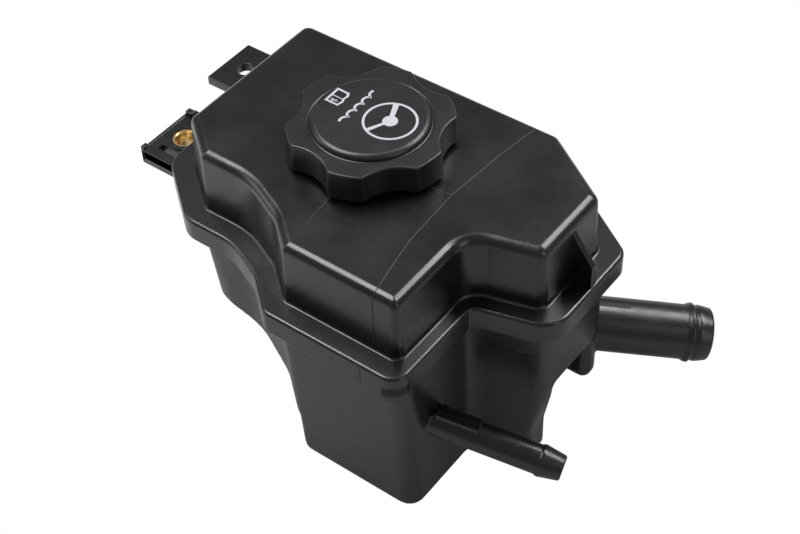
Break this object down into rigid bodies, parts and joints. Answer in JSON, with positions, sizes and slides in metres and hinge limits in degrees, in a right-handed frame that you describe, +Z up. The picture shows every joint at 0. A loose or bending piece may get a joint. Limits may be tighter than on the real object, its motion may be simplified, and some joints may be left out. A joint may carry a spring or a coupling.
{
  "type": "power steering reservoir",
  "caption": "Welded black plastic steering fluid reservoir with a lobed screw cap, angled hose stubs, dipstick, outlet screen and fixing lugs.",
  "frame": {"origin": "centre of the fixing bush's bore at its top face", "axes": "+Z up along the bush's bore and the cap's axis, +X towards the hose stubs, +Y towards the straight back wall"},
  "size_m": [0.2306, 0.1365, 0.127],
  "materials": {
    "housing": "moulded black plastic, fine grain, satin",
    "cap": "moulded black plastic, satin",
    "bush": "turned brass",
    "seal": "black rubber",
    "inner_plastic": "moulded dark plastic",
    "mesh": "white moulded mesh"
  },
  "bodies": {
    "housing": {"lower_shell": "housing", "upper_shell": "housing", "fixing_bush": "bush", "screen_frame": "inner_plastic", "screen_mesh": "mesh", "return_baffle": "inner_plastic"},
    "stick": {"dipstick": "cap"},
    "closure": {"cap": "cap", "cap_seal": "seal"}
  },
  "joints": [
    {"name": "cap_rise", "type": "slide", "parent": "housing", "child": "stick", "axis": [0, 0, 1], "range_m": [0, 0.006]},
    {"name": "cap_turn", "type": "hinge", "parent": "stick", "child": "closure", "pos_m": [0.092, 0.0062, 0.045], "axis": [0, 0, 1], "range_deg": [0, 540]}
  ],
  "couplings": [
    {"joint": "cap_rise", "follows": "cap_turn", "m_per_rad": 0.00063662}
  ]
}
